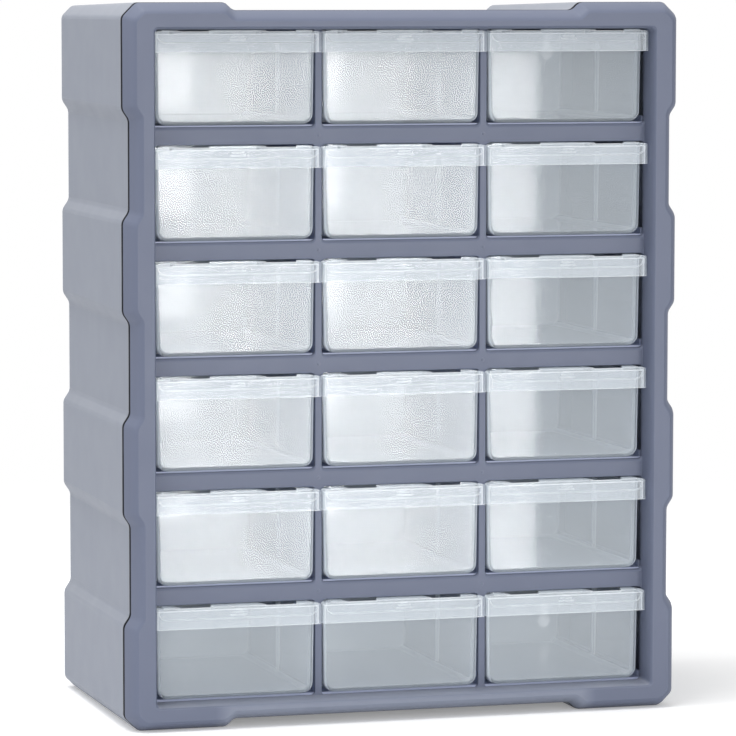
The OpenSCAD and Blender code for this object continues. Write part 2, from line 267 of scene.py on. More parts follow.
def dustAndSheenGroup():
    # faces that look up are paler in patches, with dust and painted light from above, and much paler on the
    # shaded floor of the frame's pocket, which is painted light
    s = dustAndSheen
    tree, ins, outs = newGroup("dustAndPaintedLight", ("Amount", "Ledge Amount"), ("Mask",))
    facing = scaled(tree, axisOf(tree, faceNormal(tree), "Z"), s["facingFrom"], s["gain"], clamp=True)
    patches = patchNoise(tree, ins["Vector"], s["patchScale"], 4.0, s["least"], s["patchGain"])
    z = axisOf(tree, ins["Vector"], "Z")
    onLedge = mathNode(tree, "COMPARE", z, places["ledgeZ"], places["ledgeHalf"])
    amount = mathNode(tree, "ADD", ins["Amount"], mathNode(tree, "MULTIPLY", onLedge, ins["Ledge Amount"]))
    dusted = mathNode(tree, "MULTIPLY", facing, patches)
    feed(tree, outs["Mask"], mathNode(tree, "MULTIPLY", dusted, amount, clamp=True))
    return tree


def hazeGroup():
    # how milky the clear plastic is: least in the pull and the front, a little more in the sides,
    # most in the bin's other walls, round the front's corners and along edges; the milkier edges are a
    # painted highlight, and faces that look up are milkier with dust and painted light
    m = milkiness
    tree, ins, outs = newGroup(
        "clearPlasticHaze",
        ("Edge", "Dust And Light", "Side Haze", "Bin Haze", "Front Haze", "Corner Haze", "Pull Haze", "Edge Haze"),
        ("Haze", "On Pull"))
    y = axisOf(tree, ins["Vector"], "Y")
    sideways = mathNode(tree, "ABSOLUTE", axisOf(tree, faceNormal(tree), "X"))
    turned = mathNode(tree, "GREATER_THAN", sideways, m["cornerFrom"])
    nearFront = mathNode(tree, "LESS_THAN", y, places["cornerY"])
    masks = {"Side Haze": mathNode(tree, "GREATER_THAN", sideways, m["sideFrom"]),
             "Front Haze": mathNode(tree, "LESS_THAN", y, places["frontY"]),
             "Corner Haze": mathNode(tree, "MULTIPLY", turned, nearFront),
             "Pull Haze": mathNode(tree, "LESS_THAN", y, places["pullY"])}
    haze = ins["Bin Haze"]
    for label, mask in masks.items():
        change = mathNode(tree, "SUBTRACT", ins[label], haze)
        haze = mathNode(tree, "ADD", haze, mathNode(tree, "MULTIPLY", mask, change))
    haze = mathNode(tree, "ADD", haze, ins["Dust And Light"])
    swirl = noiseNode(tree, ins["Vector"], m["swirlScale"], 2.0)
    haze = mathNode(tree, "ADD", haze, scaled(tree, swirl, 0.5, m["swirl"]))
    haze = mathNode(tree, "ADD", haze, mathNode(tree, "MULTIPLY", ins["Edge"], ins["Edge Haze"]), clamp=True)
    feed(tree, outs["Haze"], haze)
    feed(tree, outs["On Pull"], masks["Pull Haze"])
    return tree


def seamShadeGroup():
    # painted shade: the seam behind the frame's rim is darkened in uneven patches where its gap lies in
    # shadow
    tree, ins, outs = newGroup("seamPaintedShade", ("Reach",), ("Mask",))
    inSeam = mathNode(tree, "COMPARE", axisOf(tree, ins["Vector"], "Y"), places["seamY"], ins["Reach"])
    x = mathNode(tree, "ABSOLUTE", axisOf(tree, ins["Vector"], "X"))
    z = mathNode(tree, "SUBTRACT", axisOf(tree, ins["Vector"], "Z"), places["middleZ"])
    z = mathNode(tree, "ABSOLUTE", z)
    side = mathNode(tree, "DIVIDE", x, places["seamHalfX"])
    height = mathNode(tree, "DIVIDE", z, places["seamHalfZ"])
    outside = mathNode(tree, "GREATER_THAN", mathNode(tree, "MAXIMUM", side, height), 1.0)
    patches = patchNoise(tree, ins["Vector"], seamShading["patchScale"], 3.0, seamShading["least"], seamShading["patchGain"])
    mask = mathNode(tree, "MULTIPLY", mathNode(tree, "MULTIPLY", inSeam, outside), patches, clamp=True)
    feed(tree, outs["Mask"], mask)
    return tree


def lowBarLightGroup():
    # painted light: the low bar between the feet is made paler in patches, standing in for light bounced up
    # from the floor
    tree, ins, outs = newGroup("lowBarPaintedLight", ("Amount",), ("Mask",))
    z = axisOf(tree, ins["Vector"], "Z")
    low = scaled(tree, z, places["lowBarTopZ"], -places["lowBarFadeZ"], clamp=True)
    x = mathNode(tree, "ABSOLUTE", axisOf(tree, ins["Vector"], "X"))
    between = scaled(tree, x, places["lowBarHalfX"], -places["lowBarFadeX"], clamp=True)
    atFront = mathNode(tree, "LESS_THAN", axisOf(tree, ins["Vector"], "Y"), places["lowBarFrontY"])
    patches = patchNoise(tree, ins["Vector"], lowBarLighting["patchScale"], 4.0, lowBarLighting["least"],
                         lowBarLighting["patchGain"])
    mask = mathNode(tree, "MULTIPLY", mathNode(tree, "MULTIPLY", low, between),
                    mathNode(tree, "MULTIPLY", atFront, patches))
    feed(tree, outs["Mask"], mathNode(tree, "MULTIPLY", mask, ins["Amount"], clamp=True))
    return tree


moulded, wornAndLitEdges, dustAndLit = mouldedGroup(), edgeWearAndHighlightGroup(), dustAndSheenGroup()
milky, seamShaded, lowBarLit = hazeGroup(), seamShadeGroup(), lowBarLightGroup()


def plasticMaterial(spec):
    made = bpy.data.materials.new(spec["name"])
    made.use_nodes = True
    tree = made.node_tree
    shader = tree.nodes["Principled BSDF"]
    coords = tree.nodes.new("ShaderNodeTexCoord").outputs["Object"]

    def use(group, values):
        node = tree.nodes.new("ShaderNodeGroup")
        node.node_tree = group
        feed(tree, node.inputs["Vector"], coords)
        for label, value in values.items():
            feed(tree, node.inputs[label], value)
        return node.outputs

    surface = use(moulded, {"Colour": spec["colour"], "Flow Colour": spec["flowColour"], "Flow": spec["flow"],
                            "Gloss": spec["gloss"], "Gloss Spread": spec["glossSpread"],
                            "Grain Scale": spec["grainScale"]})
    colour, rough = surface["Colour"], surface["Roughness"]
    # edges worn paler on the case, a painted highlight on the clear drawers
    if "edgeWearAndHighlightColour" in spec:
        edge = use(wornAndLitEdges, {"Radius": spec["edgeRadius"], "Amount": spec["edgeAmount"]})["Mask"]
        colour = mixColour(tree, edge, colour, spec["edgeWearAndHighlightColour"])
    # dust, and painted light on faces that look up
    if "dustAndLightColour" in spec:
        dustAndLight = use(dustAndLit, {"Amount": spec["dustAndLightAmount"], "Ledge Amount": spec.get("ledgePaintedLight", 0.0)})["Mask"]
        colour = mixColour(tree, dustAndLight, colour, spec["dustAndLightColour"])
    # painted light on the low bar, from the floor below
    if "lowBarLightColour" in spec:
        lowBarLightMask = use(lowBarLit, {"Amount": spec["lowBarLightAmount"]})["Mask"]
        colour = mixColour(tree, lowBarLightMask, colour, spec["lowBarLightColour"])
    # painted shade in the seam's gap behind the rim
    if "seamShadeColour" in spec:
        seam = use(seamShaded, {"Reach": spec["seamShadeReach"]})["Mask"]
        colour = mixColour(tree, seam, colour, spec["seamShadeColour"])
    if "haze" in spec:
        haze = use(milky, {"Edge": edge, "Dust And Light": dustAndLight, **spec["haze"]})
        feed(tree, shader.inputs["Alpha"], haze["Haze"])
        frosted = mathNode(tree, "MULTIPLY", haze["On Pull"], spec["pullFrost"])
        rough = mathNode(tree, "MAXIMUM", rough, frosted)
    bump = tree.nodes.new("ShaderNodeBump")
    bump.inputs["Strength"].default_value = spec["bump"]
    bump.inputs["Distance"].default_value = 0.1 * mm
    feed(tree, bump.inputs["Height"], surface["Height"])
    for label, value in (("Base Color", colour), ("Roughness", rough), ("Normal", bump.outputs["Normal"]),
                         ("IOR", spec.get("ior", 1.5)), ("Specular IOR Level", spec.get("specular", 0.5))):
        feed(tree, shader.inputs[label], value)
    return made


framePlastic = plasticMaterial(dict(
    name="framePlastic", colour=(0.136, 0.156, 0.224, 1), flowColour=(0.152, 0.172, 0.240, 1), flow=0.5,
    # painted shade in the seam's gap
    seamShadeColour=(0.004, 0.005, 0.009, 1), seamShadeReach=0.0013,
    # painted light on the low bar, from the floor below
    lowBarLightColour=(0.225, 0.25, 0.32, 1), lowBarLightAmount=1.0,
    gloss=0.50, glossSpread=0.16, specular=0.2, grainScale=1500.0, bump=0.25,
    edgeWearAndHighlightColour=(0.25, 0.275, 0.345, 1), edgeRadius=0.0010, edgeAmount=0.4,
    # dust and painted light from above; much more painted light on the pocket's floor
    dustAndLightColour=(0.55, 0.57, 0.62, 1), dustAndLightAmount=0.05, ledgePaintedLight=0.2))
shellPlastic = plasticMaterial(dict(
    name="shellPlastic", colour=(0.245, 0.268, 0.325, 1), flowColour=(0.265, 0.286, 0.340, 1), flow=0.5,
    # painted shade in the seam's gap
    seamShadeColour=(0.010, 0.012, 0.020, 1), seamShadeReach=0.0019,
    gloss=0.52, glossSpread=0.16, specular=0.25, grainScale=1300.0, bump=0.3,
    edgeWearAndHighlightColour=(0.37, 0.39, 0.45, 1), edgeRadius=0.0012, edgeAmount=0.5,
    # dust and painted light from above
    dustAndLightColour=(0.60, 0.61, 0.63, 1), dustAndLightAmount=0.2))
# painted light: the shelves and partitions get a much paler blue than the frame's plastic, standing in for
# light inside the cabinet
litInnerPlastic = plasticMaterial(dict(
    name="litInnerPlastic", colour=(0.33, 0.375, 0.53, 1), flowColour=(0.35, 0.395, 0.55, 1), flow=0.5,
    gloss=0.5, glossSpread=0.16, grainScale=1200.0, bump=0.25))
drawerPlastic = plasticMaterial(dict(
    name="drawerPlastic", colour=(0.84, 0.92, 1.0, 1), flowColour=(0.88, 0.95, 1.0, 1), flow=0.6,
    gloss=0.035, glossSpread=0.01, grainScale=700.0, bump=0.01, ior=1.49,
    # the edge colour and the edge haze paint a highlight along every edge
    edgeWearAndHighlightColour=(0.96, 0.98, 1.0, 1), edgeRadius=0.0005, edgeAmount=0.9,
    # dust and painted light from above, which also makes those faces milkier
    dustAndLightColour=(0.95, 0.97, 1.0, 1), dustAndLightAmount=0.15, pullFrost=0.38,
    haze={"Side Haze": 0.28, "Bin Haze": 0.60, "Front Haze": 0.24,
          "Corner Haze": 0.6, "Pull Haze": 0.215, "Edge Haze": 0.6}))
print("materials made")


# one outline for the rear shell and the front frame, in mm
caseOutline = dict(halfWidth=150, height=374, steps=6, stepDepth=3.5, stepSlope=5.2, stepPitch=52,
                   footInner=96, footHeight=4, footSlope=4.4, cornerCut=7.2, blend=1.5)
grid = dict(rows=6, columns=3, rowPitch=59.3, columnPitch=89.6, uprightWidth=3.6, railHeight=9.3,
            railDrop=1.1, shelfDrop=2.3, firstFloor=311.3, cellRound=2.4, edge=0.4, railEdge=1.5,
            intoWall=0.3, edgeSteps=((1.0, 0.0), (0.3, 0.35), (0.0, 1.0)))


def rowFloor(r):
    return grid["firstFloor"] - (r - 1) * grid["rowPitch"]


def columnX(c):
    return (c - 2) * grid["columnPitch"]


def outlineFace(bm, y):
    o = caseOutline
    side, top = o["halfWidth"], o["height"]
    points = [(o["footInner"] - o["footSlope"], o["footHeight"]), (o["footInner"], 0),
              (side - o["cornerCut"], 0), (side, o["cornerCut"])]
    for i in range(o["steps"]):
        z = top / 2 + (i - (o["steps"] - 1) / 2) * o["stepPitch"]
        lower, upper = (0, o["stepDepth"]) if i % 2 == 0 else (o["stepDepth"], 0)
        points += [(side - lower, z - o["stepSlope"] / 2), (side - upper, z + o["stepSlope"] / 2)]
    points += [(side, top - o["cornerCut"]), (side - o["cornerCut"], top),
               (o["footInner"], top), (o["footInner"] - o["footSlope"], top - o["footHeight"])]
    right = [bm.verts.new((x * mm, y * mm, z * mm)) for x, z in points]
    left = [bm.verts.new((-x * mm, y * mm, z * mm)) for x, z in reversed(points)]
    return bm.faces.new(right + left)


def blendRibs(bm, loops):
    # rounds every edge that runs from one loop to the next
    kept = set(loops)
    rounded(bm, [e for e in bm.edges if e not in kept], caseOutline["blend"], 3, clamp=True)


shellShape = dict(frontY=-68.4, backY=80, wall=2.4, draft=2.57, innerDraft=2.53, backEdge=1.6, footBand=15,
                  keyholeX=129.8, keyholeZ=(25, 345), keyholeRadius=4, slotWidth=4.2, slotRise=8,
                  keyholeSteps=24, slotSteps=10,
                  ledgeFrontY=-58, ledgeBackGap=1.2, ledgeX=138, ledgeIn=4.2, ledgeThick=2, ledgeRound=0.3)


def keyholeLoop(bm, x, z, y):
    s = shellShape
    before = set(bm.edges)
    half = s["slotWidth"] / 2
    reach = math.sqrt(s["keyholeRadius"] ** 2 - half ** 2)
    start = bm.verts.new(((x - half) * mm, y * mm, (z + reach) * mm))
    hole = bmesh.ops.spin(bm, geom=[start], cent=(x * mm, y * mm, z * mm), axis=(0, -1, 0),
                          angle=2 * math.pi - 2 * math.atan2(half, reach), steps=s["keyholeSteps"])
    end = newVertsOf(hole["geom_last"])[0]
    up = bmesh.ops.extrude_vert_indiv(bm, verts=[end])["verts"][0]
    up.co.z = (z + s["slotRise"]) * mm
    arc = bmesh.ops.spin(bm, geom=[up], cent=(x * mm, y * mm, (z + s["slotRise"]) * mm), axis=(0, -1, 0),
                         angle=math.pi, steps=s["slotSteps"])
    bm.edges.new((newVertsOf(arc["geom_last"])[0], start))
    return newEdgesAfter(bm, before)


def drawIn(bm, face, inset, push):
    # a step with draft, which leaves the feet standing on the ground
    loop = insetStep(bm, face, inset, push)
    feet = [v for v in face.verts if v.co.z < shellShape["footBand"] * mm]
    bmesh.ops.translate(bm, verts=feet, vec=(0, 0, -inset * mm))
    return loop


def buildShell():
    s = shellShape
    bm = bmesh.new()
    face = outlineFace(bm, s["frontY"])
    loops = drawIn(bm, face, s["draft"], s["backY"] - s["backEdge"] - s["frontY"])
    loops += insetStep(bm, face, s["backEdge"] / 3, s["backEdge"] * 2 / 3)
    loops += insetStep(bm, face, s["backEdge"] * 2 / 3, s["backEdge"] / 3)
    rim = [e for e in bm.edges if e.is_boundary]
    inner = bmesh.ops.edgeloop_fill(bm, edges=rim)["faces"][0]
    loops += rim
    loops += insetStep(bm, inner, s["wall"], 0)
    loops += drawIn(bm, inner, s["innerDraft"], s["backY"] - s["wall"] - s["frontY"])
    blendRibs(bm, loops)
    # keyholes through both faces of the back wall
    for y in (s["backY"], s["backY"] - s["wall"]):
        edges = openFaceAt(bm, y)
        holes = [keyholeLoop(bm, side * s["keyholeX"], z, y) for side in (-1, 1) for z in s["keyholeZ"]]
        fillBetween(bm, edges + [e for hole in holes for e in hole])
        if y == s["backY"]:
            outer = holes
        else:
            for first, second in zip(outer, holes):
                bridge(bm, first, second)
    closeNormals(bm)
    report("rear shell", bm)
    # ledges that carry the shelves, on the inside of both walls
    for r in range(1, grid["rows"] + 1):
        z = rowFloor(r) - grid["shelfDrop"]
        wallX = caseOutline["halfWidth"] - (caseOutline["stepDepth"] if r % 2 else 0)
        for side in (-1, 1):
            a, b = sorted((side * s["ledgeX"], side * (wallX - s["ledgeIn"])))
            addBox(bm, (a, s["ledgeFrontY"], z - s["ledgeThick"]), (b, s["backY"] - s["ledgeBackGap"], z),
                   s["ledgeRound"])
    return makeObject("rearShell", bm)


shell = buildShell()
finishPiece(shell, shellPlastic, "cabinet", "rear_shell", sharp=32)


# bands and skirt are steps of inset and push, the lip is places of y and growth
frameShape = dict(seamY=-70, bands=((1.6, -5), (1.8, -3.2), (1.2, -1.3), (1.0, -0.5)),
                  skirt=((1.4, 0), (0, 1.6), (1.2, 0), (0, 8.4), (1.8, 0), (0, -17.4)),
                  pocket=(-134.3, 13.4, 134.3, 360.2), pocketRound=2.4, wall=2,
                  lip=((-80, 1.56), (-79.1, 0.75), (-77, 0.2), (-74, 0), (-63.8, 0)),
                  faceBackY=-77.4, railY=-66, gridBackY=-63.8, plateBackY=-63.75, plateLap=1)
pipShape = dict(foot=1.0, tip=0.6, height=0.9, sunk=0.05, sides=16)
flangeShape = dict(half=42.5, lap=0.5, reach=7.5, thick=2, rounding=0.3)


def cellBox(r, c):
    x0, z0, x1, z1 = frameShape["pocket"]
    into = grid["intoWall"]
    half = (grid["columnPitch"] - grid["uprightWidth"]) / 2
    return (x0 - into if c == 1 else columnX(c) - half,
            z0 - into if r == grid["rows"] else rowFloor(r) - grid["railDrop"],
            x1 + into if c == grid["columns"] else columnX(c) + half,
            z1 + into if r == 1 else rowFloor(r - 1) - grid["railDrop"] - grid["railHeight"])


def cellLoops(bm, r, c):
    # front loop, two steps of the rounded edge, and the back loop of one cell; a step holds
    # the share of the edge's width that is still to go, and the share of its depth
    x0, z0, x1, z1 = cellBox(r, c)
    g, f = grid, frameShape
    left = 0 if c == 1 else g["edge"]
    right = 0 if c == g["columns"] else g["edge"]
    low = g["railEdge"] if r < g["rows"] else 0
    high = g["edge"] if r > 1 else 0
    loops = []
    for share, sunk in g["edgeSteps"]:
        edges = roundRectLoop(bm, x0 - left * share, z0 - low * share, x1 + right * share, z1 + high * share,
                              g["cellRound"], f["railY"])
        # the edge is deepest along the rail below
        for v in {v for edge in edges for v in edge.verts}:
            near = max(0.0, min(1.0, 1 - (v.co.z / mm - z0 + low * share) / (g["cellRound"] * 1.2)))
            depth = g["edge"] + (max(low, g["edge"]) - g["edge"]) * near
            v.co.y += depth * sunk * mm
        loops.append(edges)
    loops.append(roundRectLoop(bm, x0, z0, x1, z1, g["cellRound"], f["plateBackY"]))
    return loops


def addPips(bm):
    # moulded pips where a rail crosses an upright
    p = pipShape
    facing = Matrix.Rotation(math.radians(90), 4, "X")
    for r in range(1, grid["rows"]):
        z = rowFloor(r) - grid["railDrop"] - grid["railHeight"] / 2
        for side in (-1, 1):
            spot = Matrix.Translation((side * grid["columnPitch"] / 2 * mm,
                                       (frameShape["railY"] + p["sunk"]) * mm, z * mm))
            bmesh.ops.create_cone(bm, cap_ends=True, segments=p["sides"], radius1=p["foot"] * mm,
                                  radius2=p["tip"] * mm, depth=p["height"] * mm, matrix=spot @ facing)


def addFlanges(bm):
    # flanges that the shelves lie on
    f = flangeShape
    y = frameShape["gridBackY"]
    for r in range(1, grid["rows"] + 1):
        z = rowFloor(r) - grid["shelfDrop"]
        for c in range(1, grid["columns"] + 1):
            addBox(bm, (columnX(c) - f["half"], y - f["lap"], z - f["thick"]),
                   (columnX(c) + f["half"], y + f["reach"], z), f["rounding"])


def buildFrame():
    f = frameShape
    bm = bmesh.new()
    loops = []
    face = outlineFace(bm, f["seamY"])
    for inset, push in f["bands"]:
        loops += insetStep(bm, face, inset, push)
    seam = [e for e in bm.edges if e.is_boundary]
    back = bmesh.ops.edgeloop_fill(bm, edges=seam)["faces"][0]
    loops += seam
    for inset, push in f["skirt"]:
        loops += insetStep(bm, back, inset, push)
    blendRibs(bm, loops)
    x0, z0, x1, z1 = f["pocket"]

    def grown(grow, y, radius=f["pocketRound"]):
        return roundRectLoop(bm, x0 - grow, z0 - grow, x1 + grow, z1 + grow, radius, y)

    # front face and the rounded lip of the pocket
    edges = openFaceAt(bm, f["lip"][0][0])
    rings = [grown(grow, y) for y, grow in f["lip"]]
    fillBetween(bm, edges + rings[0])
    for a, b in zip(rings, rings[1:]):
        bridge(bm, a, b)
    # back of that face, and the pocket's own wall
    edges = openFaceAt(bm, f["faceBackY"])
    wallRound = f["pocketRound"] + f["wall"]
    wallFront = grown(f["wall"], edges[0].verts[0].co.y / mm, wallRound)
    wallBack = grown(f["wall"], f["gridBackY"], wallRound)
    fillBetween(bm, edges + wallFront)
    bridge(bm, wallFront, wallBack)
    fillBetween(bm, wallBack + rings[-1])
    # rails and uprights, let into the pocket's wall
    plateRound = f["pocketRound"] + f["plateLap"]
    plateFront = grown(f["plateLap"], f["railY"], plateRound)
    plateBack = grown(f["plateLap"], f["plateBackY"], plateRound)
    bridge(bm, plateFront, plateBack)
    cells = [cellLoops(bm, r, c) for r in range(1, grid["rows"] + 1) for c in range(1, grid["columns"] + 1)]
    for cell in cells:
        for a, b in zip(cell, cell[1:]):
            bridge(bm, a, b)
    fillBetween(bm, plateFront + [e for cell in cells for e in cell[0]])
    fillBetween(bm, plateBack + [e for cell in cells for e in cell[-1]])
    closeNormals(bm)
    report("front frame", bm)
    addPips(bm)
    addFlanges(bm)
    return makeObject("frontFrame", bm)


frontFrame = buildFrame()
finishPiece(frontFrame, framePlastic, "cabinet", "front_frame", sharp=28)
print("frame built")

# the shelves and partitions take the paler plastic, painted light for the dim inside
for name, thing in nodes.items():
    if name.startswith(("shelf", "partition")):
        thing.data.materials.clear()
        thing.data.materials.append(litInnerPlastic)


drawerShape = dict(topHalf=42.45, lowHalf=41.7, frontY=-67, backY=59, wallTop=44.9, frontTop=47.1, wall=1.5,
                   lowerRound=5.5, cornerRound=1.8, riseY=-62.6, rise=1)
pullShape = dict(half=44.3, frontY=-73, endY=-68.4, neckHalf=42.3, neckY=-66.5, backY=-62.6, top=47.9,
                 height=10.8, thick=1.5, rounding=1.0,
                 notchInner=14.6, notchOuter=31.6, notchFrontY=-70.4, flare=2.13)
tongueShape = dict(frontY=-71.8, top=48.5, end=39.7, sunk=0.7, rounding=0.25)
recessShape = dict(ridge=5.6, depth=0.9, half=42.3, rounding=4, grow=0.6, above=6, ahead=1)
gripShape = dict(count=3, width=4.6, grow=1.8, pitch=1.5, thick=0.6, frontY=-72.8, depth=1, rounding=0.15)
ribShape = dict(face=39.4, spacing=3.2, thick=1.2, depth=2, y=-4, low=1.2, high=41.1, rounding=0.2)


def buildTub():
    d = drawerShape
    bm = bmesh.new()
    bmesh.ops.create_cube(bm, size=1)
    bmesh.ops.scale(bm, verts=bm.verts,
                    vec=(2 * d["topHalf"] * mm, (d["backY"] - d["frontY"]) * mm, d["wallTop"] * mm))
    bmesh.ops.translate(bm, verts=bm.verts,
                        vec=(0, (d["frontY"] + d["backY"]) / 2 * mm, d["wallTop"] / 2 * mm))
    low = [v for v in bm.verts if v.co.z < 1 * mm]
    bmesh.ops.scale(bm, verts=low, vec=(d["lowHalf"] / d["topHalf"], 1, 1))
    top = [f for f in bm.faces if f.normal.z > 0.9]
    bmesh.ops.delete(bm, geom=top, context="FACES_ONLY")
    # the two long lower edges first, then the front and back corners with them
    long = [e for e in bm.edges if all(v.co.z < 1 * mm for v in e.verts)
            and abs(e.verts[0].co.y - e.verts[1].co.y) > 50 * mm]
    rounded(bm, long, d["lowerRound"], 7)
    ends = [e for e in bm.edges if not e.is_boundary and abs(e.verts[0].co.y - e.verts[1].co.y) < 0.1 * mm]
    rounded(bm, ends, d["cornerRound"], 3)
    # the rim steps up at the front
    for y in (d["riseY"], d["riseY"] + d["rise"]):
        bmesh.ops.bisect_plane(bm, geom=bm.verts[:] + bm.edges[:] + bm.faces[:],
                               plane_co=(0, y * mm, 0), plane_no=(0, 1, 0))
    raised = [v for v in bm.verts
              if v.co.z > (d["wallTop"] - 0.1) * mm and v.co.y < (d["riseY"] + 0.1) * mm]
    bmesh.ops.translate(bm, verts=raised, vec=(0, 0, (d["frontTop"] - d["wallTop"]) * mm))
    bmesh.ops.recalc_face_normals(bm, faces=bm.faces)
    bmesh.ops.solidify(bm, geom=bm.faces[:], thickness=d["wall"] * mm)
    bmesh.ops.recalc_face_normals(bm, faces=bm.faces)
    report("drawer tub", bm)
    return makeObject("tub", bm)


def buildPull():
    p = pullShape
    bm = bmesh.new()
    half = [(0, p["frontY"]), (p["half"], p["frontY"]), (p["half"], p["endY"]),
            (p["neckHalf"], p["neckY"]), (p["neckHalf"], p["backY"]),
            (p["notchOuter"] + p["flare"], p["backY"]), (p["notchOuter"], p["notchFrontY"]),
            (p["notchInner"], p["notchFrontY"]), (p["notchInner"] - p["flare"], p["backY"]), (0, p["backY"])]
    bm.faces.new([bm.verts.new((x * mm, y * mm, p["top"] * mm)) for x, y in half])
    mirrorHalf(bm)
    bmesh.ops.recalc_face_normals(bm, faces=bm.faces)
    if bm.faces[:][0].normal.z < 0:
        bmesh.ops.reverse_faces(bm, faces=bm.faces[:])

    def onFront(v):
        return abs(v.co.y / mm - p["frontY"]) < sameSpot

    def onEnd(v):
        return abs(abs(v.co.x) / mm - p["half"]) < sameSpot

    # the skirt hangs from the front and end edges of the plate
    rim = [e for e in bm.edges if all(onFront(v) for v in e.verts) or all(onEnd(v) for v in e.verts)]
    skirt = bmesh.ops.extrude_edge_only(bm, edges=rim)["geom"]
    bmesh.ops.translate(bm, verts=newVertsOf(skirt), vec=(0, 0, -p["height"] * mm))
    rounded(bm, [e for e in bm.edges if len(e.link_faces) == 2], p["rounding"], 3)
    bmesh.ops.solidify(bm, geom=bm.faces[:], thickness=p["thick"] * mm)
    bmesh.ops.recalc_face_normals(bm, faces=bm.faces)
    report("pull", bm)
    return makeObject("pull", bm)


def buildRecess():
    # the cutter that sets the skirt back behind the ridge
    p, s = pullShape, recessShape
    bm = bmesh.new()
    half, low, high = s["half"] + s["grow"], p["top"] - s["ridge"] - s["grow"], p["top"] + s["above"]
    verts = [bm.verts.new((x * mm, (p["frontY"] - s["ahead"]) * mm, z * mm))
             for x, z in ((-half, low), (half, low), (half, high), (-half, high))]
    bm.faces.new(verts)
    rounded(bm, verts[:2], s["rounding"] + s["grow"], 6, affect="VERTICES")
    insetStep(bm, bm.faces[:][0], s["grow"], s["ahead"] + s["depth"])
    bmesh.ops.edgeloop_fill(bm, edges=[e for e in bm.edges if e.is_boundary])
    bmesh.ops.recalc_face_normals(bm, faces=bm.faces)
    report("recess", bm)
    return makeObject("recess", bm)


def buildTongues():
    p, t = pullShape, tongueShape
    bm = bmesh.new()
    along = (t["frontY"] - p["notchFrontY"]) / (p["backY"] - p["notchFrontY"])
    front, back = along * p["flare"], p["flare"]
    shapes = [[(p["notchOuter"] + front, t["frontY"]), (t["end"], t["frontY"]),
               (t["end"], p["backY"]), (p["notchOuter"] + back, p["backY"])],
              [(0, t["frontY"]), (p["notchInner"] - front, t["frontY"]),
               (p["notchInner"] - back, p["backY"]), (0, p["backY"])]]
    base = p["top"] - t["sunk"]
    for shape in shapes:
        bm.faces.new([bm.verts.new((x * mm, y * mm, base * mm)) for x, y in shape])
    mirrorHalf(bm)
    grown = bmesh.ops.extrude_face_region(bm, geom=bm.faces[:])["geom"]
    bmesh.ops.translate(bm, verts=newVertsOf(grown), vec=(0, 0, (t["top"] - base) * mm))
    bmesh.ops.recalc_face_normals(bm, faces=bm.faces)
    rim = [e for e in bm.edges if all(v.co.z > (t["top"] - sameSpot) * mm for v in e.verts)]
    rounded(bm, rim, t["rounding"], 2)
    report("tongues", bm)
    return makeObject("tongues", bm)


def buildRibs():
    g, s = gripShape, ribShape
    bm = bmesh.new()
    # grip ribs on the skirt, then two pairs of divider ribs inside the walls
    for i in range(g["count"]):
        half = (g["width"] + g["grow"] * i) / 2
        z = pullShape["top"] - g["pitch"] * (i + 1)
        addBox(bm, (-half, g["frontY"], z), (half, g["frontY"] + g["depth"], z + g["thick"]), g["rounding"])
    for side in (-1, 1):
        for end in (-1, 1):
            y = s["y"] + end * s["spacing"] / 2
            a, b = sorted((side * s["face"], side * (s["face"] + s["depth"])))
            addBox(bm, (a, y - s["thick"] / 2, s["low"]), (b, y + s["thick"] / 2, s["high"]), s["rounding"])
    return makeObject("ribs", bm)


def combined(base, operation, others):
    for other in others:
        step = base.modifiers.new("join", "BOOLEAN")
        step.operation = operation
        step.object = other
        step.solver = "EXACT"
    bpy.context.view_layer.update()
    shown = base.evaluated_get(bpy.context.evaluated_depsgraph_get())
    mesh = bpy.data.meshes.new_from_object(shown)
    base.modifiers.clear()
    return mesh


tub, pull, recess, tongues, ribs = buildTub(), buildPull(), buildRecess(), buildTongues(), buildRibs()
pull.data = combined(pull, "DIFFERENCE", [recess])
template = bmesh.new()
template.from_mesh(combined(tub, "UNION", [pull, tongues, ribs]))
bmesh.ops.remove_doubles(template, verts=template.verts, dist=weldGap * mm)
report("drawer", template)
for thing in (tub, pull, recess, tongues, ribs):
    bpy.data.objects.remove(thing)

for r in range(1, grid["rows"] + 1):
    for c in range(1, grid["columns"] + 1):
        bm = template.copy()
        bmesh.ops.translate(bm, verts=bm.verts, vec=(columnX(c) * mm, 0, rowFloor(r) * mm))
        node = "drawer_r%d_c%d" % (r, c)
        thing = makeObject("clearDrawer_r%d_c%d" % (r, c), bm)
        finishPiece(thing, drawerPlastic, node, node, sharp=30)
template.free()
print("drawers built")


# from here on places and sizes are in metres
stage = dict(worldLight=0.52, floorColour=(0.94, 0.94, 0.94, 1), floorRough=0.9, floorHalf=3,
             floorFrontY=-0.5, floorBackY=2.5, floorGlow=0.24, fadeFrom=0.45, fadeTo=1.1)
lamps = (dict(name="topLight", place=(-0.5, -0.2, 1.8), size=1.2, power=22),
         dict(name="leftLight", place=(-1.9, 0.0, 0.8), size=1.2, power=6.5),
         dict(name="frontLight", place=(0.15, -2.6, 0.55), size=1.5, power=25.5))
lampAim = (0, 0, 0.2)
# the shades are places of x and brightness
softbox = dict(x=(0.25, 0.74), y=-2.0, z=(-0.9, 0.312), strength=24.5,
               shades=((0.35, 0.88), (0.40, 0.98), (0.44, 1.0), (0.474, 0.72), (0.505, 0.72), (0.515, 0.93),
                       (0.55, 1.0), (0.60, 1.0), (0.638, 0.72), (0.68, 0.72), (0.69, 1.0), (0.74, 0.9)))
white = (1, 1, 1, 1)


def stagePlane(name, corners, material):
    bm = bmesh.new()
    bm.faces.new([bm.verts.new(corner) for corner in corners])
    thing = makeObject(name, bm)
    thing.data.materials.append(material)
    return thing


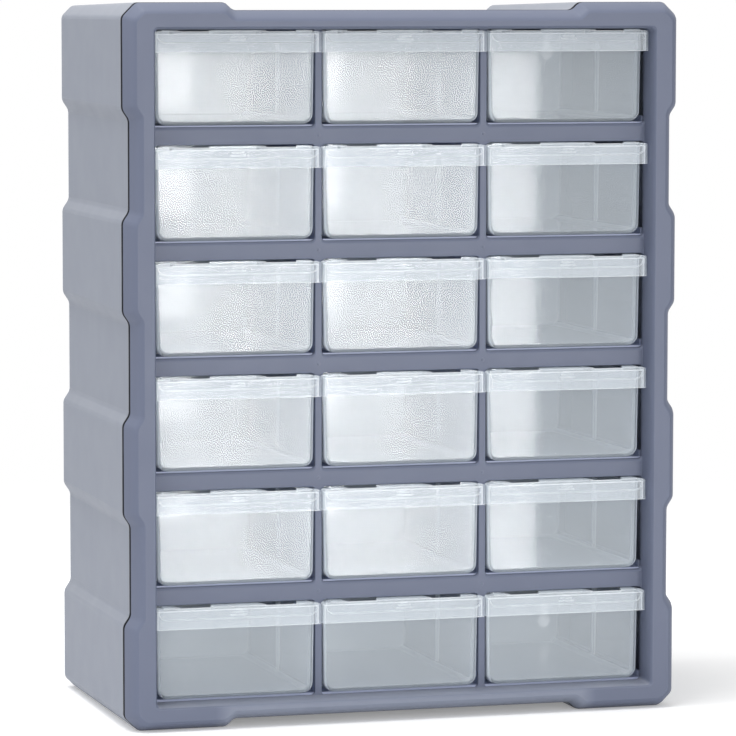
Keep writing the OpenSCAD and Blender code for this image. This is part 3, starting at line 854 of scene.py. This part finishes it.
def softLight(name, place, size, power):
    data = bpy.data.lights.new(name, "AREA")
    data.energy = power
    data.size = size
    lamp = bpy.data.objects.new(name, data)
    scene.collection.objects.link(lamp)
    lamp.location = place
    lamp.rotation_euler = (Vector(lampAim) - Vector(place)).to_track_quat("-Z", "Y").to_euler()
    lamp.visible_camera = False


def seenRay(tree):
    # 1 for rays of the camera, of gloss and through clear plastic
    rays = tree.nodes.new("ShaderNodeLightPath").outputs
    seen = mathNode(tree, "MAXIMUM", rays["Is Camera Ray"], rays["Is Transmission Ray"])
    return mathNode(tree, "MAXIMUM", seen, rays["Is Glossy Ray"])


def paperMaterial():
    made = bpy.data.materials.new("paperFloor")
    made.use_nodes = True
    tree = made.node_tree
    shader = tree.nodes["Principled BSDF"]
    # the paper thins out into the white background far from the cabinet
    reach = tree.nodes.new("ShaderNodeVectorMath")
    reach.operation = "LENGTH"
    feed(tree, reach.inputs[0], tree.nodes.new("ShaderNodeTexCoord").outputs["Object"])
    fade = tree.nodes.new("ShaderNodeMapRange")
    fade.interpolation_type = "SMOOTHSTEP"
    for label, value in (("Value", reach.outputs["Value"]), ("From Min", stage["fadeFrom"]),
                         ("From Max", stage["fadeTo"]), ("To Min", 1.0), ("To Max", 0.0)):
        feed(tree, fade.inputs[label], value)
    # what is seen of the paper is lifted to the white of the background, and it lights nothing
    made.cycles.emission_sampling = "NONE"
    glow = mathNode(tree, "MULTIPLY", seenRay(tree), stage["floorGlow"])
    for label, value in (("Base Color", stage["floorColour"]), ("Roughness", stage["floorRough"]),
                         ("Alpha", fade.outputs["Result"]), ("Emission Color", white),
                         ("Emission Strength", glow)):
        feed(tree, shader.inputs[label], value)
    return made


def cardMaterial():
    # an evenly bright card with two dimmer upright bands
    made = bpy.data.materials.new("softboxCard")
    made.use_nodes = True
    tree = made.node_tree
    tree.nodes.clear()
    left, right = softbox["x"]
    across = axisOf(tree, tree.nodes.new("ShaderNodeTexCoord").outputs["Object"], "X")
    share = mathNode(tree, "DIVIDE", mathNode(tree, "SUBTRACT", across, left), right - left)
    ramp = tree.nodes.new("ShaderNodeValToRGB")
    stops = ramp.color_ramp.elements
    while len(stops) < len(softbox["shades"]):
        stops.new(0.5)
    # places first, because a stop that moves past another changes their order
    for stop, (x, level) in zip(stops, softbox["shades"]):
        stop.position = (x - left) / (right - left)
    for stop, (x, level) in zip(stops, softbox["shades"]):
        stop.color = (level, level, level, 1)
    light = tree.nodes.new("ShaderNodeEmission")
    feed(tree, ramp.inputs[0], share)
    feed(tree, light.inputs["Color"], ramp.outputs["Color"])
    feed(tree, light.inputs["Strength"], softbox["strength"])
    feed(tree, tree.nodes.new("ShaderNodeOutputMaterial").inputs[0], light.outputs[0])
    return made


def studioWorld():
    # soft light for the cabinet, plain white where the background is seen
    world = bpy.data.worlds.new("studio")
    world.use_nodes = True
    tree = world.node_tree
    tree.nodes.clear()
    mix = tree.nodes.new("ShaderNodeMixShader")
    feed(tree, mix.inputs[0], seenRay(tree))
    for i, strength in ((1, stage["worldLight"]), (2, 1.0)):
        background = tree.nodes.new("ShaderNodeBackground")
        feed(tree, background.inputs["Color"], white)
        feed(tree, background.inputs["Strength"], strength)
        feed(tree, mix.inputs[i], background.outputs[0])
    feed(tree, tree.nodes.new("ShaderNodeOutputWorld").inputs[0], mix.outputs[0])
    return world


for lamp in lamps:
    softLight(**lamp)
halfFloor, floorFront, floorBack = stage["floorHalf"], stage["floorFrontY"], stage["floorBackY"]
stagePlane("floor", [(-halfFloor, floorFront, 0), (halfFloor, floorFront, 0),
                     (halfFloor, floorBack, 0), (-halfFloor, floorBack, 0)], paperMaterial())
(cardLeft, cardRight), cardY, (cardLow, cardHigh) = softbox["x"], softbox["y"], softbox["z"]
card = stagePlane("softboxCard", [(cardLeft, cardY, cardLow), (cardRight, cardY, cardLow),
                                  (cardRight, cardY, cardHigh), (cardLeft, cardY, cardHigh)], cardMaterial())
card.visible_camera = card.visible_diffuse = card.visible_shadow = card.visible_transmission = False
scene.world = studioWorld()

cameraView = dict(yaw=0.29358, pitch=0.089073, roll=0.001054, place=(-0.67716, -2.24629, 0.38762),
                  lens=214.9, sensor=36, clipEnd=50)


def addCamera():
    v = cameraView
    forward = Vector((math.sin(v["yaw"]) * math.cos(v["pitch"]), math.cos(v["yaw"]) * math.cos(v["pitch"]),
                      -math.sin(v["pitch"])))
    right = forward.cross(Vector((0, 0, 1))).normalized()
    up = right.cross(forward)
    turn = Matrix((right, up, -forward)).transposed().to_4x4() @ Matrix.Rotation(v["roll"], 4, "Z")
    camera = bpy.data.objects.new("camera", bpy.data.cameras.new("camera"))
    scene.collection.objects.link(camera)
    camera.matrix_world = Matrix.Translation(v["place"]) @ turn
    camera.data.lens = v["lens"]
    camera.data.sensor_width = v["sensor"]
    camera.data.clip_end = v["clipEnd"]
    scene.camera = camera


addCamera()
scene.view_settings.view_transform = "Standard"
print("stage and camera set")
